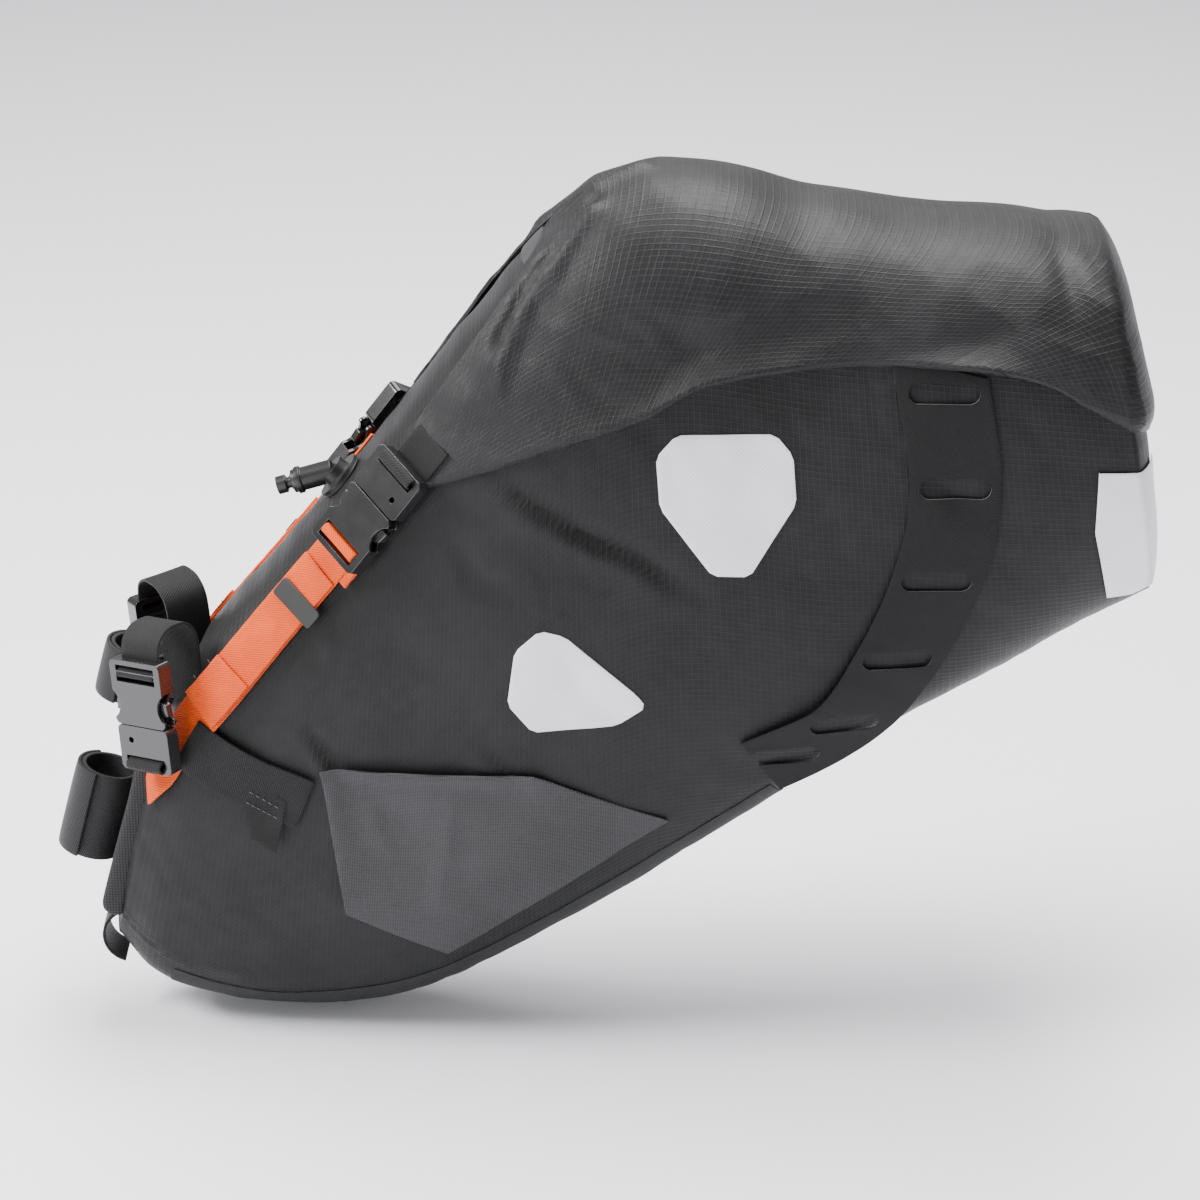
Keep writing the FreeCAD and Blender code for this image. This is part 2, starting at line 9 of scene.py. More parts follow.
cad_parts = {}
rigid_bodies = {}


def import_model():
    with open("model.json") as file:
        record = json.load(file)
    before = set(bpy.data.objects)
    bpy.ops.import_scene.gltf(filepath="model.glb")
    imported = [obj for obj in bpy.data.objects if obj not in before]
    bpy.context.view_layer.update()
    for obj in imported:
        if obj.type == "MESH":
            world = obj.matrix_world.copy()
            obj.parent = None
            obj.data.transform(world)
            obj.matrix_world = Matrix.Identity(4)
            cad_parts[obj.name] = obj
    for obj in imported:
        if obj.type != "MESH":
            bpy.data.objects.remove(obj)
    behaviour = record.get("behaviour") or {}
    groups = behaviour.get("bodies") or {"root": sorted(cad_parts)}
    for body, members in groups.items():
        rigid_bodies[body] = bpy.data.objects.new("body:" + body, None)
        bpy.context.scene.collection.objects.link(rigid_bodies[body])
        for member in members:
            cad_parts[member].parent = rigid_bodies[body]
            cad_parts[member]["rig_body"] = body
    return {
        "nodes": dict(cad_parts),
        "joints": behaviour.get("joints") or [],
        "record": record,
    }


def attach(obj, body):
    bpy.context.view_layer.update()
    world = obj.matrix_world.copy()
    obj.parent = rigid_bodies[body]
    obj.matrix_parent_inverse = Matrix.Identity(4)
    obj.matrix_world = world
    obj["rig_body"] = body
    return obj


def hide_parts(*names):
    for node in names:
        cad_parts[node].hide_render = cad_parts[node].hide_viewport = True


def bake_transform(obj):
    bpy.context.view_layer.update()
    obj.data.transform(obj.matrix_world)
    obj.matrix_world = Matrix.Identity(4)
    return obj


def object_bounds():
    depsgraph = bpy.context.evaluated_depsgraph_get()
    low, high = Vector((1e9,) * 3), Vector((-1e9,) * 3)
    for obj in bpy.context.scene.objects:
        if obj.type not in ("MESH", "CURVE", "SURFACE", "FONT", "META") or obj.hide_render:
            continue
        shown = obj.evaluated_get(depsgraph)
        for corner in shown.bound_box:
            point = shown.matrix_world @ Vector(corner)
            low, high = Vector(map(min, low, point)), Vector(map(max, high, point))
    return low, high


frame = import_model()
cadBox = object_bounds()
noise.seed_set(7)
mm = 0.001
print("frame loaded")


class Value:  # one output socket that takes part in sums
    def __init__(self, paint, socket):
        self.paint = paint
        self.socket = socket

    def sum(self, operation, *values):
        return self.paint.node("ShaderNodeMath", {"operation": operation}, dict(enumerate(values)))

    def __add__(self, other): return self.sum("ADD", self, other)
    def __radd__(self, other): return self.sum("ADD", other, self)
    def __sub__(self, other): return self.sum("SUBTRACT", self, other)
    def __rsub__(self, other): return self.sum("SUBTRACT", other, self)
    def __mul__(self, other): return self.sum("MULTIPLY", self, other)
    def __rmul__(self, other): return self.sum("MULTIPLY", other, self)
    def __abs__(self): return self.sum("ABSOLUTE", self)

    def fade(self, low, high):
        settings = {"interpolation_type": "SMOOTHSTEP"}
        return self.paint.node("ShaderNodeMapRange", settings, {0: self, 1: low, 2: high})

    def ribs(self, spacing, thin=0.0):  # raised lines, one to each spacing
        wave = abs(self.sum("SINE", self * (math.pi / spacing)))
        return wave.fade(thin, 1.0)


class Paint:  # a material and the nodes added to it
    def __init__(self, name, **finish):
        self.material = bpy.data.materials.new(name)
        self.material.use_nodes = True
        self.tree = self.material.node_tree
        self.shader = self.tree.nodes["Principled BSDF"]
        for key, value in finish.items():
            self.set(key.replace("_", " "), value)

    def node(self, kind, settings=None, inputs=None, output=0):
        made = self.tree.nodes.new(kind)
        for key, value in (settings or {}).items():
            setattr(made, key, value)
        for key, value in (inputs or {}).items():
            self.feed(made.inputs[key], value)
        return Value(self, made.outputs[output])

    def feed(self, socket, value):
        if isinstance(value, Value):
            self.tree.links.new(value.socket, socket)
        else:
            socket.default_value = value

    def set(self, name, value):
        self.feed(self.shader.inputs[name], value)

    def place(self):
        return self.node("ShaderNodeTexCoord", None, None, 3)

    def cloth(self):  # the sheet's own lengths along and across, in metres
        uv = self.node("ShaderNodeUVMap", {"uv_map": "cloth"})
        along = self.node("ShaderNodeSeparateXYZ", None, {0: uv})
        return along, Value(self, along.socket.node.outputs[1])

    def noise(self, scale, detail=3.0, rough=0.55):
        inputs = {"Vector": self.place(), "Scale": scale, "Detail": detail, "Roughness": rough}
        return self.node("ShaderNodeTexNoise", None, inputs)

    def mix(self, factor, first, second):
        return self.node("ShaderNodeMix", {"data_type": "RGBA"}, {0: factor, 6: first, 7: second}, 2)

    def bump(self, height, distance, strength=1.0):
        inputs = {"Height": height, "Distance": distance, "Strength": strength}
        self.set("Normal", self.node("ShaderNodeBump", None, inputs))


def grey(value):
    return (value, value, value * 1.05, 1.0)


# Finishes

ripstop = {"spacing": 3.2 * mm, "thread": 0.55 * mm, "height": 0.25}


def ripstopPaint(name, dark, light, rough):
    paint = Paint(name, Specular_IOR_Level=0.17, Sheen_Weight=0.02, Sheen_Roughness=0.5)
    along, across = paint.cloth()
    gridLines = along.ribs(ripstop["spacing"], 0.9) + across.ribs(ripstop["spacing"], 0.9)
    weave = along.ribs(ripstop["thread"]) * across.ribs(ripstop["thread"])
    broad = paint.noise(9.0, 4.0, 0.6)
    fine = paint.noise(140.0, 4.0, 0.7)
    scuff = paint.noise(38.0, 6.0, 0.75).fade(0.56, 0.74)
    tone = (broad * 0.55 + fine * 0.25 + gridLines * 0.10).fade(0.18, 0.66)
    colour = paint.mix(tone, grey(dark), grey(light))
    paint.set("Base Color", paint.mix(scuff * 0.35, colour, grey(light * 1.7)))
    paint.set("Roughness", rough - 0.10 * tone + 0.16 * scuff + 0.05 * fine)
    paint.bump(gridLines * ripstop["height"] + weave * 0.12 + fine * 0.35 + broad * 0.4, 0.45 * mm, 0.7)
    return paint.material


def webbingPaint(name, base, dark, rough):
    paint = Paint(name, Sheen_Weight=0.05, Sheen_Roughness=0.4, Specular_IOR_Level=0.2)
    along, across = paint.cloth()
    twill = (along + across * 0.8).ribs(1.5 * mm, 0.2)
    yarn = across.ribs(1.1 * mm, 0.15)
    fuzz = paint.noise(420.0, 3.0, 0.7)
    worn = paint.noise(45.0, 4.0, 0.6).fade(0.4, 0.7)
    weave = twill * 0.6 + yarn * 0.5
    paint.set("Base Color", paint.mix((weave * 0.7 + fuzz * 0.4 + worn * 0.25).fade(0.15, 1.2), dark, base))
    paint.set("Roughness", rough - 0.12 * weave + 0.1 * fuzz)
    paint.bump(weave + fuzz * 0.4, 0.35 * mm, 0.8)
    return paint.material


def plasticPaint(name, tone, rough, coat=0.0, grain=0.25):
    paint = Paint(name, Specular_IOR_Level=0.5)
    paint.set("Coat Weight", coat)
    fine = paint.noise(900.0, 2.0, 0.6)
    smear = paint.noise(60.0, 5.0, 0.65)
    paint.set("Base Color", paint.mix(smear.fade(0.3, 0.75), grey(tone), grey(tone * 1.6)))
    paint.set("Roughness", rough + 0.16 * (smear - 0.5) + 0.06 * fine)
    paint.bump(fine * grain + smear * 0.3, 0.12 * mm, 0.5)
    return paint.material


def filmPaint(name):
    paint = Paint(name, Specular_IOR_Level=0.5)
    along, across = paint.cloth()
    cells = (along + across).ribs(2.4 * mm, 0.86) + (along - across).ribs(2.4 * mm, 0.86)
    smear = paint.noise(26.0, 4.0, 0.6)
    paint.set("Base Color", paint.mix((cells * 0.3 + smear.fade(0.3, 0.8) * 0.35), grey(0.78), grey(0.60)))
    paint.set("Metallic", 0.25)
    paint.set("Roughness", 0.34 + 0.14 * smear + 0.08 * cells)
    paint.bump(cells * 0.5 + smear, 0.12 * mm, 0.5)
    return paint.material


def panelPaint(name, dark, light, spacing):
    paint = Paint(name, Specular_IOR_Level=0.15, Sheen_Weight=0.02)
    along, across = paint.cloth()
    weave = along.ribs(spacing, 0.1) * across.ribs(spacing, 0.1)
    broad = paint.noise(14.0, 5.0, 0.6)
    speck = paint.noise(520.0, 3.0, 0.8)
    tone = (weave * 0.6 + broad * 0.5 + speck * 0.35).fade(0.2, 1.1)
    paint.set("Base Color", paint.mix(tone, grey(dark), grey(light)))
    paint.set("Roughness", 0.62 - 0.15 * weave + 0.12 * broad)
    paint.bump(weave + speck * 0.4, 0.3 * mm, 0.8)
    return paint.material


paints = {
    "body": ripstopPaint("bodyRipstop", 0.0045, 0.016, 0.46),
    "hood": ripstopPaint("hoodRipstop", 0.007, 0.024, 0.42),
    "panel": panelPaint("scuffPanel", 0.010, 0.040, 1.1 * mm),
    "wing": panelPaint("wingPanel", 0.018, 0.085, 0.9 * mm),
    "daisy": panelPaint("daisyLaminate", 0.006, 0.018, 0.7 * mm),
    "film": filmPaint("reflectiveFilm"),
    "orange": webbingPaint("orangeWebbing", (0.80, 0.095, 0.004, 1), (0.46, 0.034, 0.002, 1), 0.62),
    "black": webbingPaint("blackWebbing", grey(0.014), grey(0.003), 0.6),
    "post": webbingPaint("postStrapFabric", grey(0.016), grey(0.005), 0.5),
    "buckle": plasticPaint("bucklePlastic", 0.006, 0.22, 0.5),
    "valve": plasticPaint("valvePlastic", 0.007, 0.34),
    "rubber": plasticPaint("keeperRubber", 0.005, 0.5, 0.0, 0.6),
    "sheet": plasticPaint("stiffenerSheet", 0.10, 0.5),
    "pad": panelPaint("padFabric", 0.012, 0.035, 1.6 * mm),
    "tape": plasticPaint("rimTape", 0.02, 0.7, 0.0, 0.8),
    "edge": Paint("cutEdge", Base_Color=grey(0.14), Roughness=0.6).material,
}
thread = Paint("stitchThread", Roughness=0.7)
thread.set("Base Color", thread.mix(thread.noise(300.0), grey(0.03), grey(0.09)))
paints["thread"] = thread.material
print("finishes made")


# The bag's form, as in the CAD loft: underside point, topside point, half-width

bag = {"front": 7 * mm, "low": -113 * mm, "length": 549 * mm, "height": 466 * mm,
       "narrow": 38 * mm, "wide": 78 * mm, "square": 3.0, "keel": 0.16, "capDepth": 9 * mm}
shares = [(0.000, 0.090, 0.072, 0.400, 0.00), (0.052, 0.030, 0.120, 0.492, 0.28),
          (0.188, 0.000, 0.233, 0.646, 0.52), (0.333, 0.038, 0.352, 0.828, 0.70),
          (0.515, 0.165, 0.492, 0.994, 0.86), (0.716, 0.329, 0.679, 0.972, 0.95),
          (0.880, 0.452, 0.830, 0.946, 1.00), (1.000, 0.534, 0.942, 0.930, 0.98)]


def at(u, w):  # a point of the middle plane, from its share of the length and of the height
    return Vector((bag["front"] + u * bag["length"], 0, bag["low"] + w * bag["height"]))


def plan(point):  # where it is in the side view
    return point.x, point.z


def smoothRow(table, t):  # a smooth curve through the rows of a table
    last = len(table) - 1
    k = min(int(t), last - 1)
    f = t - k
    rows = [table[min(max(k + i, 0), last)] for i in (-1, 0, 1, 2)]
    if k == 0:
        rows[0] = 2 * rows[1] - rows[2]
    if k == last - 1:
        rows[3] = 2 * rows[2] - rows[1]
    a, b, c, d = rows
    return b + 0.5 * f * (c - a + f * (2 * a - 5 * b + 4 * c - d + f * (3 * (b - c) + d - a)))


def evenly(points, parts=0, step=1.0):  # the same line in equal parts, or in parts of about one step
    length = np.concatenate([[0], np.cumsum(np.linalg.norm(np.diff(points[:, :3], axis=0), axis=1))])
    even = np.linspace(0, length[-1], (parts or max(int(length[-1] / step), 2)) + 1)
    return np.stack([np.interp(even, length, points[:, k]) for k in range(points.shape[1])], axis=1), even


def rowUv(along, even):  # one row of cloth lengths, measured across from its middle
    return np.stack([np.full(len(even), along), even - even[-1] / 2], axis=1)


stationTable = np.array(shares)


def section(t, columns):  # evenly spaced points round the bag, from under it and back
    lowU, lowW, highU, highW, wide = smoothRow(stationTable, t)
    low, high = np.array(at(lowU, lowW)), np.array(at(highU, highW))
    half = bag["narrow"] + wide * (bag["wide"] - bag["narrow"])
    turn = np.linspace(-0.5 * np.pi, 1.5 * np.pi, 1201)
    rise = np.sign(np.sin(turn)) * np.abs(np.sin(turn)) ** (2 / bag["square"])
    aside = np.sign(np.cos(turn)) * np.abs(np.cos(turn)) ** (2 / bag["square"])
    ring = (low + high) / 2 + np.outer(rise, (high - low) / 2)
    ring[:, 1] = -aside * half * (1 - bag["keel"] * np.maximum(0, -rise) ** 1.5)
    return evenly(ring, columns)


def gridPiece(rows, uvs):  # a grid mesh whose corners are put at the given points
    count, across = rows.shape[0], rows.shape[1]
    bm = bmesh.new()
    cloth = bm.loops.layers.uv.new("cloth")
    bmesh.ops.create_grid(bm, x_segments=across - 1, y_segments=count - 1, size=0.5)
    for face in bm.faces:
        for loop in face.loops:
            spot = loop.vert.co
            i, j = round((spot.y + 0.5) * (count - 1)), round((spot.x + 0.5) * (across - 1))
            loop[cloth].uv = uvs[i, j]
    for vert in bm.verts:
        i, j = round((vert.co.y + 0.5) * (count - 1)), round((vert.co.x + 0.5) * (across - 1))
        vert.co = rows[i, j]
    return bm


def piece(bm, name, paint, body, replaces=(), smooth=True, modifiers=()):
    mesh = bpy.data.meshes.new(name)
    bm.to_mesh(mesh)
    bm.free()
    for polygon in mesh.polygons:
        polygon.use_smooth = smooth
    made = bpy.data.objects.new(name, mesh)
    bpy.context.scene.collection.objects.link(made)
    mesh.materials.append(paints[paint])
    for kind, settings in modifiers:
        added = made.modifiers.new(kind.lower(), kind)
        for key, value in settings.items():
            setattr(added, key, value)
    if body:
        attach(made, body)
    if replaces:
        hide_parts(*replaces)
    return made


def solid(thickness, offset=-1.0, crease=0.35 * mm):
    wall = ("SOLIDIFY", {"thickness": thickness, "offset": offset, "use_even_offset": False})
    edge = ("BEVEL", {"width": crease, "segments": 2, "limit_method": "ANGLE", "angle_limit": 0.9,
                      "use_clamp_overlap": True})
    return [wall, edge]


def reach(point, line):  # distance to a line of side-view points, and how far along it
    best, along, total = 9.0, 0.0, 0.0
    for (x0, z0), (x1, z1) in zip(line, line[1:]):
        dx, dz = x1 - x0, z1 - z0
        length = math.hypot(dx, dz)
        f = min(max(((point.x - x0) * dx + (point.z - z0) * dz) / length ** 2, 0), 1)
        away = math.hypot(point.x - x0 - f * dx, point.z - z0 - f * dz)
        if away < best:
            best, along = away, total + f * length
        total += length
    return best, along / total


def groove(point, line, width, depth, taper=True):
    away, along = reach(point, line)
    if away > 3 * width:
        return 0.0
    strength = math.sin(math.pi * min(max(along, 0.06), 0.94)) if taper else 1.0
    return -depth * strength * math.exp(-(away / width) ** 2)


def side(*pairs):  # side-view points given in millimetres
    return [(x * mm, z * mm) for x, z in pairs]


# Body: seams, darts and creases on both sides, then the soft unevenness of packed fabric

body = {"rows": 26, "columns": 216, "capRows": 10, "undulation": 1.7 * mm, "wrinkle": 1.0 * mm}
seams = [side((406, 274), (409, 219), (405, 182), (396, 148), (379, 106), (358, 80)),
         side((5, -40), (21, -61), (53, -81), (74, -82))]
darts = [(side((212, 216), (240, 198), (265, 183), (290, 172), (322, 150)), 3.2 * mm, 4.5 * mm),
         (side((112, 78), (128, 56), (139, 37)), 3.0 * mm, 2.6 * mm),
         (side((204, 66), (214, 58), (227, 45)), 2.4 * mm, 2.0 * mm),
         (side((190, 190), (205, 160), (232, 142)), 7.0 * mm, 2.4 * mm),
         (side((150, 130), (178, 108), (205, 100)), 8.0 * mm, 2.0 * mm),
         (side((330, 60), (352, 44), (378, 52)), 6.0 * mm, 2.2 * mm),
         (side((430, 226), (450, 208), (462, 176)), 7.0 * mm, 1.8 * mm),
         (side((250, 118), (262, 92), (288, 76)), 7.0 * mm, 1.8 * mm)]


def bodyShift(place):  # how far the fabric stands off the plain form, alike on both sides
    point = Vector((place.x, -abs(place.y), place.z))
    spot = Vector((point.x * 15, point.y * 6, point.z * 15))
    shift = body["undulation"] * (noise.noise(spot) - 0.25)
    lean = Vector(((point.x + 0.6 * point.z) * 46, point.y * 9, (point.z - 0.6 * point.x) * 20))
    shift += body["wrinkle"] * (abs(noise.noise(lean)) - 0.3)
    for line in seams:
        shift += groove(point, line, 2.2 * mm, -0.7 * mm, False)
        shift += groove(point, line, 0.7 * mm, 1.1 * mm, False)
    for line, width, depth in darts:
        shift += groove(point, line, width, depth)
    for line, width, depth in darts[:3]:
        lifted = Vector((point.x + 2 * width, 0, point.z + 2.2 * width))
        shift -= 0.45 * groove(lifted, line, 1.8 * width, depth)
    return shift


def bagForm():
    rings, uvs = [], []
    last = len(shares) - 1
    along, before = 0.0, None
    for k in range(last * body["rows"] + 1):
        ring, around = section(k / body["rows"], body["columns"])
        middle = ring.mean(axis=0)
        along += 0.0 if before is None else float(np.linalg.norm(middle - before))
        before = middle
        rings.append(ring)
        uvs.append(rowUv(along, around))
    for end in (0, -1):
        ring = rings[end]
        middle = ring.mean(axis=0)
        ahead = ring[0] - ring[len(ring) // 2]
        normal = np.array([-ahead[2], 0, ahead[0]])
        normal *= (1 if end == 0 else -1) * np.sign(normal[0]) * -1 / np.linalg.norm(normal)
        for k in range(1, body["capRows"] + 1):
            f = 1 - (k / body["capRows"]) ** 1.4 * 0.995
            bulge = bag["capDepth"] * (1 - f ** 5) * (0.6 if end == 0 else 1.0)
            cap = middle + (ring - middle) * f + normal * bulge
            flat = uvs[end] * np.array([1, f]) + np.array([(1 if end else -1) * (1 - f) * 0.08, 0])
            rings.insert(0, cap) if end == 0 else rings.append(cap)
            uvs.insert(0, flat) if end == 0 else uvs.append(flat)
    return np.array(rings), np.array(uvs)


def cutPlane(bm, spot, normal, clear=False):  # a cut; clear takes away what lies past it
    bmesh.ops.bisect_plane(bm, geom=bm.verts[:] + bm.edges[:] + bm.faces[:], plane_co=spot,
                           plane_no=normal, clear_outer=clear)


def openMouth(bm, below):  # cuts away what stands over the mouth
    front, along = at(0.424, 0.936), at(1.0, 0.786) - at(0.424, 0.936)
    cutPlane(bm, front - Vector((0, 0, below)), (-along.z, 0, along.x), True)


def bodyPiece():
    rows, uvs = bagForm()
    bm = gridPiece(rows, uvs)
    bmesh.ops.remove_doubles(bm, verts=bm.verts, dist=0.05 * mm)
    bmesh.ops.recalc_face_normals(bm, faces=bm.faces)
    plain = BVHTree.FromBMesh(bm)
    bm.normal_update()
    moves = [(vert, vert.normal * bodyShift(vert.co)) for vert in bm.verts]
    for vert, move in moves:
        vert.co += move
    shaped = BVHTree.FromBMesh(bm)
    openMouth(bm, 0.0)
    piece(bm, "bagBody", "body", "root", ["body_shell"],
          modifiers=[("SOLIDIFY", {"thickness": 2 * mm, "offset": -1.0})])
    return plain, shaped


plainTree, bodyTree = bodyPiece()  # the form before and after the fabric's shifts
print("body made")


def onto(tree, x, z, lift, far=0.3):  # a side-view point on the near side, lifted off the surface
    hit, normal = tree.ray_cast(Vector((x, -far, z)), Vector((0, 1, 0)))[:2]
    if hit is None:
        hit, normal = tree.find_nearest(Vector((x, -0.06, z)))[:2]
    return hit + normal * lift, normal


def turnOver(bm):  # to its mirror image on the far side
    bmesh.ops.scale(bm, vec=(1, -1, 1), verts=bm.verts)
    bmesh.ops.reverse_faces(bm, faces=bm.faces)


def mirrorPair(make, name, paint, body, replaces=(), modifiers=()):  # a piece for each side
    for end in ("Left", "Right"):
        bm = make()
        if end == "Right":
            turnOver(bm)
        nodes = [node.replace("SIDE", end.lower()) for node in replaces]
        piece(bm, name + end, paint, body, nodes, modifiers=modifiers)


def cutSheet(outline, cell, tree, lift):  # a sheet of that outline laid on the side
    bm = bmesh.new()
    cloth = bm.loops.layers.uv.new("cloth")
    corners = [bm.verts.new((x, 0, z)) for x, z in outline]
    bm.faces.new(corners)
    for axis in (0, 2):
        values = [corner[0 if axis == 0 else 1] for corner in outline]
        for k in range(1, int((max(values) - min(values)) / cell) + 1):
            spot = Vector((0, 0, 0))
            spot[axis] = min(values) + k * cell
            normal = Vector((0, 0, 0))
            normal[axis] = 1
            cutPlane(bm, spot, normal)
    for face in bm.faces:
        for loop in face.loops:
            loop[cloth].uv = (loop.vert.co.x, loop.vert.co.z)
    for vert in bm.verts:
        vert.co = onto(tree, vert.co.x, vert.co.z, lift)[0]
    bmesh.ops.recalc_face_normals(bm, faces=bm.faces)
    if sum(face.normal.y * face.calc_area() for face in bm.faces) > 0:
        bmesh.ops.reverse_faces(bm, faces=bm.faces)
    return bm


def softLine(points, step):  # evenly spaced points on a smooth curve through the given ones
    table = np.array([list(p) for p in points], float)
    fine = np.array([smoothRow(table, t) for t in np.linspace(0, len(table) - 1, 40 * len(table))])
    return evenly(fine, step=step)


def bandRows(centres, normals, width, columns, crown):  # across a band, a little higher along its middle
    centres, normals = [Vector(c) for c in centres], [Vector(n) for n in normals]
    rows, uvs, along = [], [], 0.0
    count = len(centres)
    for i, (centre, normal) in enumerate(zip(centres, normals)):
        ahead = centres[min(i + 1, count - 1)] - centres[max(i - 1, 0)]
        across = normal.cross(ahead).normalized()
        if i:
            along += (centre - centres[i - 1]).length
        row, uv = [], []
        for j in range(columns + 1):
            f = 2 * j / columns - 1
            row.append(centre + across * (f * width / 2) + normal * (crown * (1 - f * f)))
            uv.append((along, f * width / 2))
        rows.append(row)
        uvs.append(uv)
    return np.array(rows), np.array(uvs)


def layBand(line, width, tree, lift, step=2.5 * mm, columns=10, crown=0.2 * mm, settle=4):
    points, even = softLine(line, step)
    lifts = lift if callable(lift) else (lambda f: lift)
    found = [onto(tree, x, z, 0.0) for x, z in points]
    centres = [hit + normal * lifts(even[i] / even[-1]) for i, (hit, normal) in enumerate(found)]
    normals = [normal for hit, normal in found]
    for turn in range(settle):
        last = len(normals) - 1
        normals = [(normals[max(i - 1, 0)] + normals[i] + normals[min(i + 1, last)]).normalized()
                   for i in range(last + 1)]
    rows, uvs = bandRows(centres, normals, width, columns, crown)
    for i, row in enumerate(rows):
        for j, point in enumerate(row):
            hit, normal = tree.find_nearest(Vector(point))[:2]
            if hit is not None:
                gap = (Vector(point) - hit).dot(normal)
                least = lifts(even[i] / even[-1]) * 0.9
                if gap < least:
                    rows[i, j] = Vector(point) + normal * (least - gap)
    return gridPiece(rows, uvs)


# Hood: a sheet over the top and round the tail, from one lower edge to the other

hood = {"gap": 1.6 * mm, "wall": 1.9 * mm, "rows": 170, "columns": 190, "flare": 7.0 * mm,
        "flareWidth": 0.20, "swell": 3.0 * mm, "wrinkle": 2.2 * mm, "curl": 5.0 * mm, "length": 0.42}
hoodEdge = [(0.215, 0.632), (0.260, 0.650), (0.300, 0.664), (0.385, 0.704), (0.441, 0.734), (0.517, 0.772),
            (0.576, 0.811), (0.672, 0.830), (0.749, 0.834), (0.827, 0.830), (0.885, 0.815), (0.925, 0.790)]
hoodRidge = [(0.300, 0.765), (0.330, 0.803), (0.386, 0.870), (0.440, 0.935), (0.492, 0.992), (0.560, 1.000),
             (0.679, 0.972), (0.760, 0.958), (0.850, 0.945), (0.925, 0.932), (0.953, 0.880), (0.975, 0.757)]
# The pleats are placed as seen from above, the folds as seen from the side
pleats = [(side((222, -44), (239, -36), (249, -35), (257, -31), (266, -22)), 3.6 * mm, 6.0 * mm),
          (side((224, 34), (251, 5), (268, -1), (291, 10)), 4.2 * mm, 5.0 * mm)]
folds = [(side((230, 262), (300, 292), (372, 300)), 11 * mm, 2.4 * mm),
         (side((262, 262), (330, 286), (400, 283)), 9 * mm, 1.8 * mm),
         (side((420, 276), (470, 292), (520, 284)), 10 * mm, 2.2 * mm),
         (side((300, 330), (380, 338), (470, 326)), 12 * mm, 2.0 * mm),
         (side((470, 340), (500, 322), (512, 290)), 7 * mm, 2.6 * mm),
         (side((486, 344), (524, 318), (534, 276)), 6 * mm, 2.2 * mm),
         (side((228, 292), (214, 262), (186, 226)), 7 * mm, -3.0 * mm),
         (side((250, 318), (236, 286), (210, 246)), 11 * mm, 3.0 * mm)]
frontEdge = [plan(at(*share)) for share in ((0.300, 0.664), (0.300, 0.730), (0.386, 0.874), (0.43, 0.930))]


def hoodShift(point, toEdge, along):
    spot = Vector((point.x * 13, point.y * 7, point.z * 17))
    shift = hood["swell"] * (noise.noise(spot) + 0.1)
    lean = Vector(((point.x - 0.8 * point.z) * 17, point.y * 10, (point.z + 0.5 * point.x) * 44))
    shift += hood["wrinkle"] * (0.5 - abs(noise.noise(lean)))
    shift += 0.8 * mm * math.exp(-(reach(point, frontEdge)[0] / (5 * mm)) ** 2)
    flat = Vector((point.x, 0, point.y))
    for line, width, depth in pleats:
        shift += groove(flat, line, width, depth, False)
        lifted = Vector((flat.x, 0, flat.z + 2.0 * width))
        shift -= 0.7 * groove(lifted, line, 1.4 * width, depth, False)
    for line, width, depth in folds:
        shift += groove(point, line, width, depth) * (0.6 + noise.noise(spot * 2))
    ripple = 0.55 + 0.45 * math.sin(along * 41 + 1.4 * math.sin(along * 17 + 3 * (point.y > 0)))
    hem = max(0.0, 1 - toEdge / hood["flareWidth"]) ** 2
    shift += hood["flare"] * hem * ripple
    shift -= hood["curl"] * max(0.0, 1 - toEdge / 0.030) ** 2
    return shift


def hoodPiece():
    edge, ridge = softLine(hoodEdge, 0.002)[0], softLine(hoodRidge, 0.002)[0]
    rows, uvs = [], []
    for i in range(hood["rows"] + 1):
        f = i / hood["rows"]
        low = at(*edge[round(f * (len(edge) - 1))])
        high = at(*ridge[round(f * (len(ridge) - 1))])
        up = (high - low).normalized()
        reachUp = (high - low).length
        centre = low + up * min(0.25 * reachUp, 0.03)
        tilt = math.atan2((centre - low).length, 0.07)
        row = []
        for turn in np.linspace(-tilt, math.pi + tilt, 361):
            ray = Vector((0, -math.cos(turn), 0)) + up * math.sin(turn)
            hit, normal = plainTree.ray_cast(centre + ray * 0.4, -ray, 0.4)[:2]
            if hit is None:
                hit, normal = plainTree.find_nearest(centre + ray * 0.07)[:2]
            row.append(list(hit) + list(normal))
        row, even = evenly(np.array(row), hood["columns"])
        rows.append(row)
        uvs.append(rowUv(f * hood["length"], even))
    rows, uvs = np.array(rows), np.array(uvs)
    shaped = rows[:, :, :3].copy()
    for i, row in enumerate(rows):
        for j, spot in enumerate(row):
            point, normal = Vector(spot[:3]), Vector(spot[3:]).normalized()
            toEdge = min(j, hood["columns"] - j) / hood["columns"] * 2
            toEdge = min(toEdge, (hood["rows"] - i) / hood["rows"] * 1.1)
            shift = hood["gap"] + 0.6 * mm + max(hoodShift(point, toEdge, uvs[i, j, 0]), -2.4 * mm)
            shaped[i, j] = point + normal * shift
    bm = gridPiece(shaped, uvs)
    slope = at(0.386, 0.874) - at(0.300, 0.730)
    for spot, normal in ((at(0.300, 0.70), (-1, 0, 0)), (at(0.300, 0.730), (-slope.z, 0, slope.x))):
        cutPlane(bm, spot, normal, True)
    bmesh.ops.recalc_face_normals(bm, faces=bm.faces)
    if sum(face.normal.z for face in bm.faces) < 0:
        bmesh.ops.reverse_faces(bm, faces=bm.faces)
    edge = ("BEVEL", {"width": 0.6 * mm, "segments": 2, "limit_method": "ANGLE", "angle_limit": 0.9})
    wall = ("SOLIDIFY", {"thickness": hood["wall"], "offset": 0.0})
    piece(bm, "hood", "hood", "closure", ["closure_hood"], modifiers=[wall, edge])


hoodPiece()
print("hood made")


# Hard parts: the CAD form with its joins merged and its edges rounded


